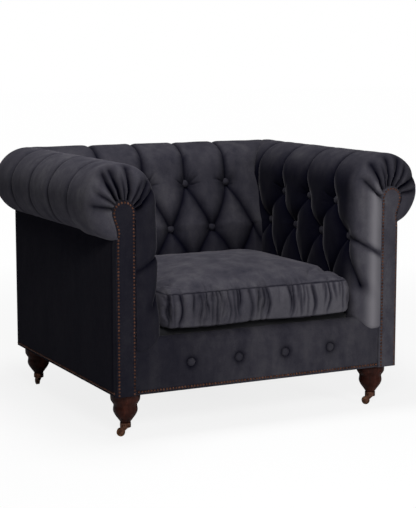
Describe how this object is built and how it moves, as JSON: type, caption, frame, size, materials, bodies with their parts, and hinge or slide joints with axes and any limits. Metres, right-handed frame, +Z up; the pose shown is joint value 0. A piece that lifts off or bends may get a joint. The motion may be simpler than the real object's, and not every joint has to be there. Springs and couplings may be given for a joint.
{
  "type": "chesterfield armchair",
  "caption": "Low button-tufted club armchair with rolled arms and back of one height, a loose crowned seat cushion, slim keyhole arm fronts and turned legs on swivel casters.",
  "frame": {"origin": "on the floor, under the middle of the chair's bounding box", "axes": "+X along the chair's width, to the right when the chair is seen from the front; +Y from the front to the back; +Z up"},
  "size_m": [1.072, 0.866, 0.766],
  "materials": {
    "velvet": "dark charcoal cotton velvet with a short nap",
    "foam": "foam wrapped in fibre",
    "lining_cloth": "plain black platform and underside cloth",
    "webbing": "woven webbing straps",
    "frame_timber": "sawn hardwood",
    "turned_wood": "dark red-brown stain with a satin lacquer",
    "steel": "plain zinc-plated steel",
    "antique_bronze": "brown antique bronze",
    "wheel_bronze": "brown antique bronze, dulled by rolling"
  },
  "bodies": {
    "armchair": {"inside_arm_left": "velvet", "inside_arm_right": "velvet", "inside_back": "velvet", "front_border": "velvet", "arm_facing_left": "velvet", "arm_facing_right": "velvet", "outside_arm_left": "velvet", "outside_arm_right": "velvet", "outside_back": "velvet", "arm_buttons_left": "velvet", "arm_buttons_right": "velvet", "back_buttons": "velvet", "front_buttons": "velvet", "deck_pad": "lining_cloth", "dust_cover": "lining_cloth", "seat_webbing": "webbing", "front_rail": "frame_timber", "rear_rail": "frame_timber", "back_roll_rail": "frame_timber", "back_slat": "frame_timber", "back_uprights": "frame_timber", "corner_blocks": "frame_timber", "front_post_left": "frame_timber", "front_post_right": "frame_timber", "rear_post_left": "frame_timber", "rear_post_right": "frame_timber", "side_rail_left": "frame_timber", "side_rail_right": "frame_timber", "arm_roll_rail_left": "frame_timber", "arm_roll_rail_right": "frame_timber", "arm_slat_left": "frame_timber", "arm_slat_right": "frame_timber", "turned_legs": "turned_wood", "leg_bolts": "steel", "caster_cups": "antique_bronze"},
    "seat_cushion": {"seat_cushion_cover": "velvet", "seat_cushion_core": "foam"},
    "caster_swivel_front_left": {"caster_horn_front_left": "antique_bronze"},
    "caster_wheel_body_front_left": {"caster_wheel_front_left": "wheel_bronze"},
    "caster_swivel_front_right": {"caster_horn_front_right": "antique_bronze"},
    "caster_wheel_body_front_right": {"caster_wheel_front_right": "wheel_bronze"},
    "caster_swivel_rear_left": {"caster_horn_rear_left": "antique_bronze"},
    "caster_wheel_body_rear_left": {"caster_wheel_rear_left": "wheel_bronze"},
    "caster_swivel_rear_right": {"caster_horn_rear_right": "antique_bronze"},
    "caster_wheel_body_rear_right": {"caster_wheel_rear_right": "wheel_bronze"}
  },
  "joints": [
    {"name": "seat_cushion_lift", "type": "slide", "parent": "armchair", "child": "seat_cushion", "axis": [0, 0, 1], "range_m": [0, 0.45]},
    {"name": "caster_swivel_front_left_turn", "type": "hinge", "parent": "armchair", "child": "caster_swivel_front_left", "pos_m": [-0.407, -0.367, 0.0285], "axis": [0, 0, 1], "continuous": true},
    {"name": "caster_wheel_front_left_roll", "type": "hinge", "parent": "caster_swivel_front_left", "child": "caster_wheel_body_front_left", "pos_m": [-0.41858, -0.3611, 0.012], "axis": [-0.454, -0.891, 0], "continuous": true},
    {"name": "caster_swivel_front_right_turn", "type": "hinge", "parent": "armchair", "child": "caster_swivel_front_right", "pos_m": [0.407, -0.367, 0.0285], "axis": [0, 0, 1], "continuous": true},
    {"name": "caster_wheel_front_right_roll", "type": "hinge", "parent": "caster_swivel_front_right", "child": "caster_wheel_body_front_right", "pos_m": [0.39542, -0.3611, 0.012], "axis": [-0.454, -0.891, 0], "continuous": true},
    {"name": "caster_swivel_rear_left_turn", "type": "hinge", "parent": "armchair", "child": "caster_swivel_rear_left", "pos_m": [-0.407, 0.328, 0.0285], "axis": [0, 0, 1], "continuous": true},
    {"name": "caster_wheel_rear_left_roll", "type": "hinge", "parent": "caster_swivel_rear_left", "child": "caster_wheel_body_rear_left", "pos_m": [-0.407, 0.341, 0.012], "axis": [-1, 0, 0], "continuous": true},
    {"name": "caster_swivel_rear_right_turn", "type": "hinge", "parent": "armchair", "child": "caster_swivel_rear_right", "pos_m": [0.407, 0.328, 0.0285], "axis": [0, 0, 1], "continuous": true},
    {"name": "caster_wheel_rear_right_roll", "type": "hinge", "parent": "caster_swivel_rear_right", "child": "caster_wheel_body_rear_right", "pos_m": [0.4005, 0.33926, 0.012], "axis": [-0.866, -0.5, 0], "continuous": true}
  ]
}
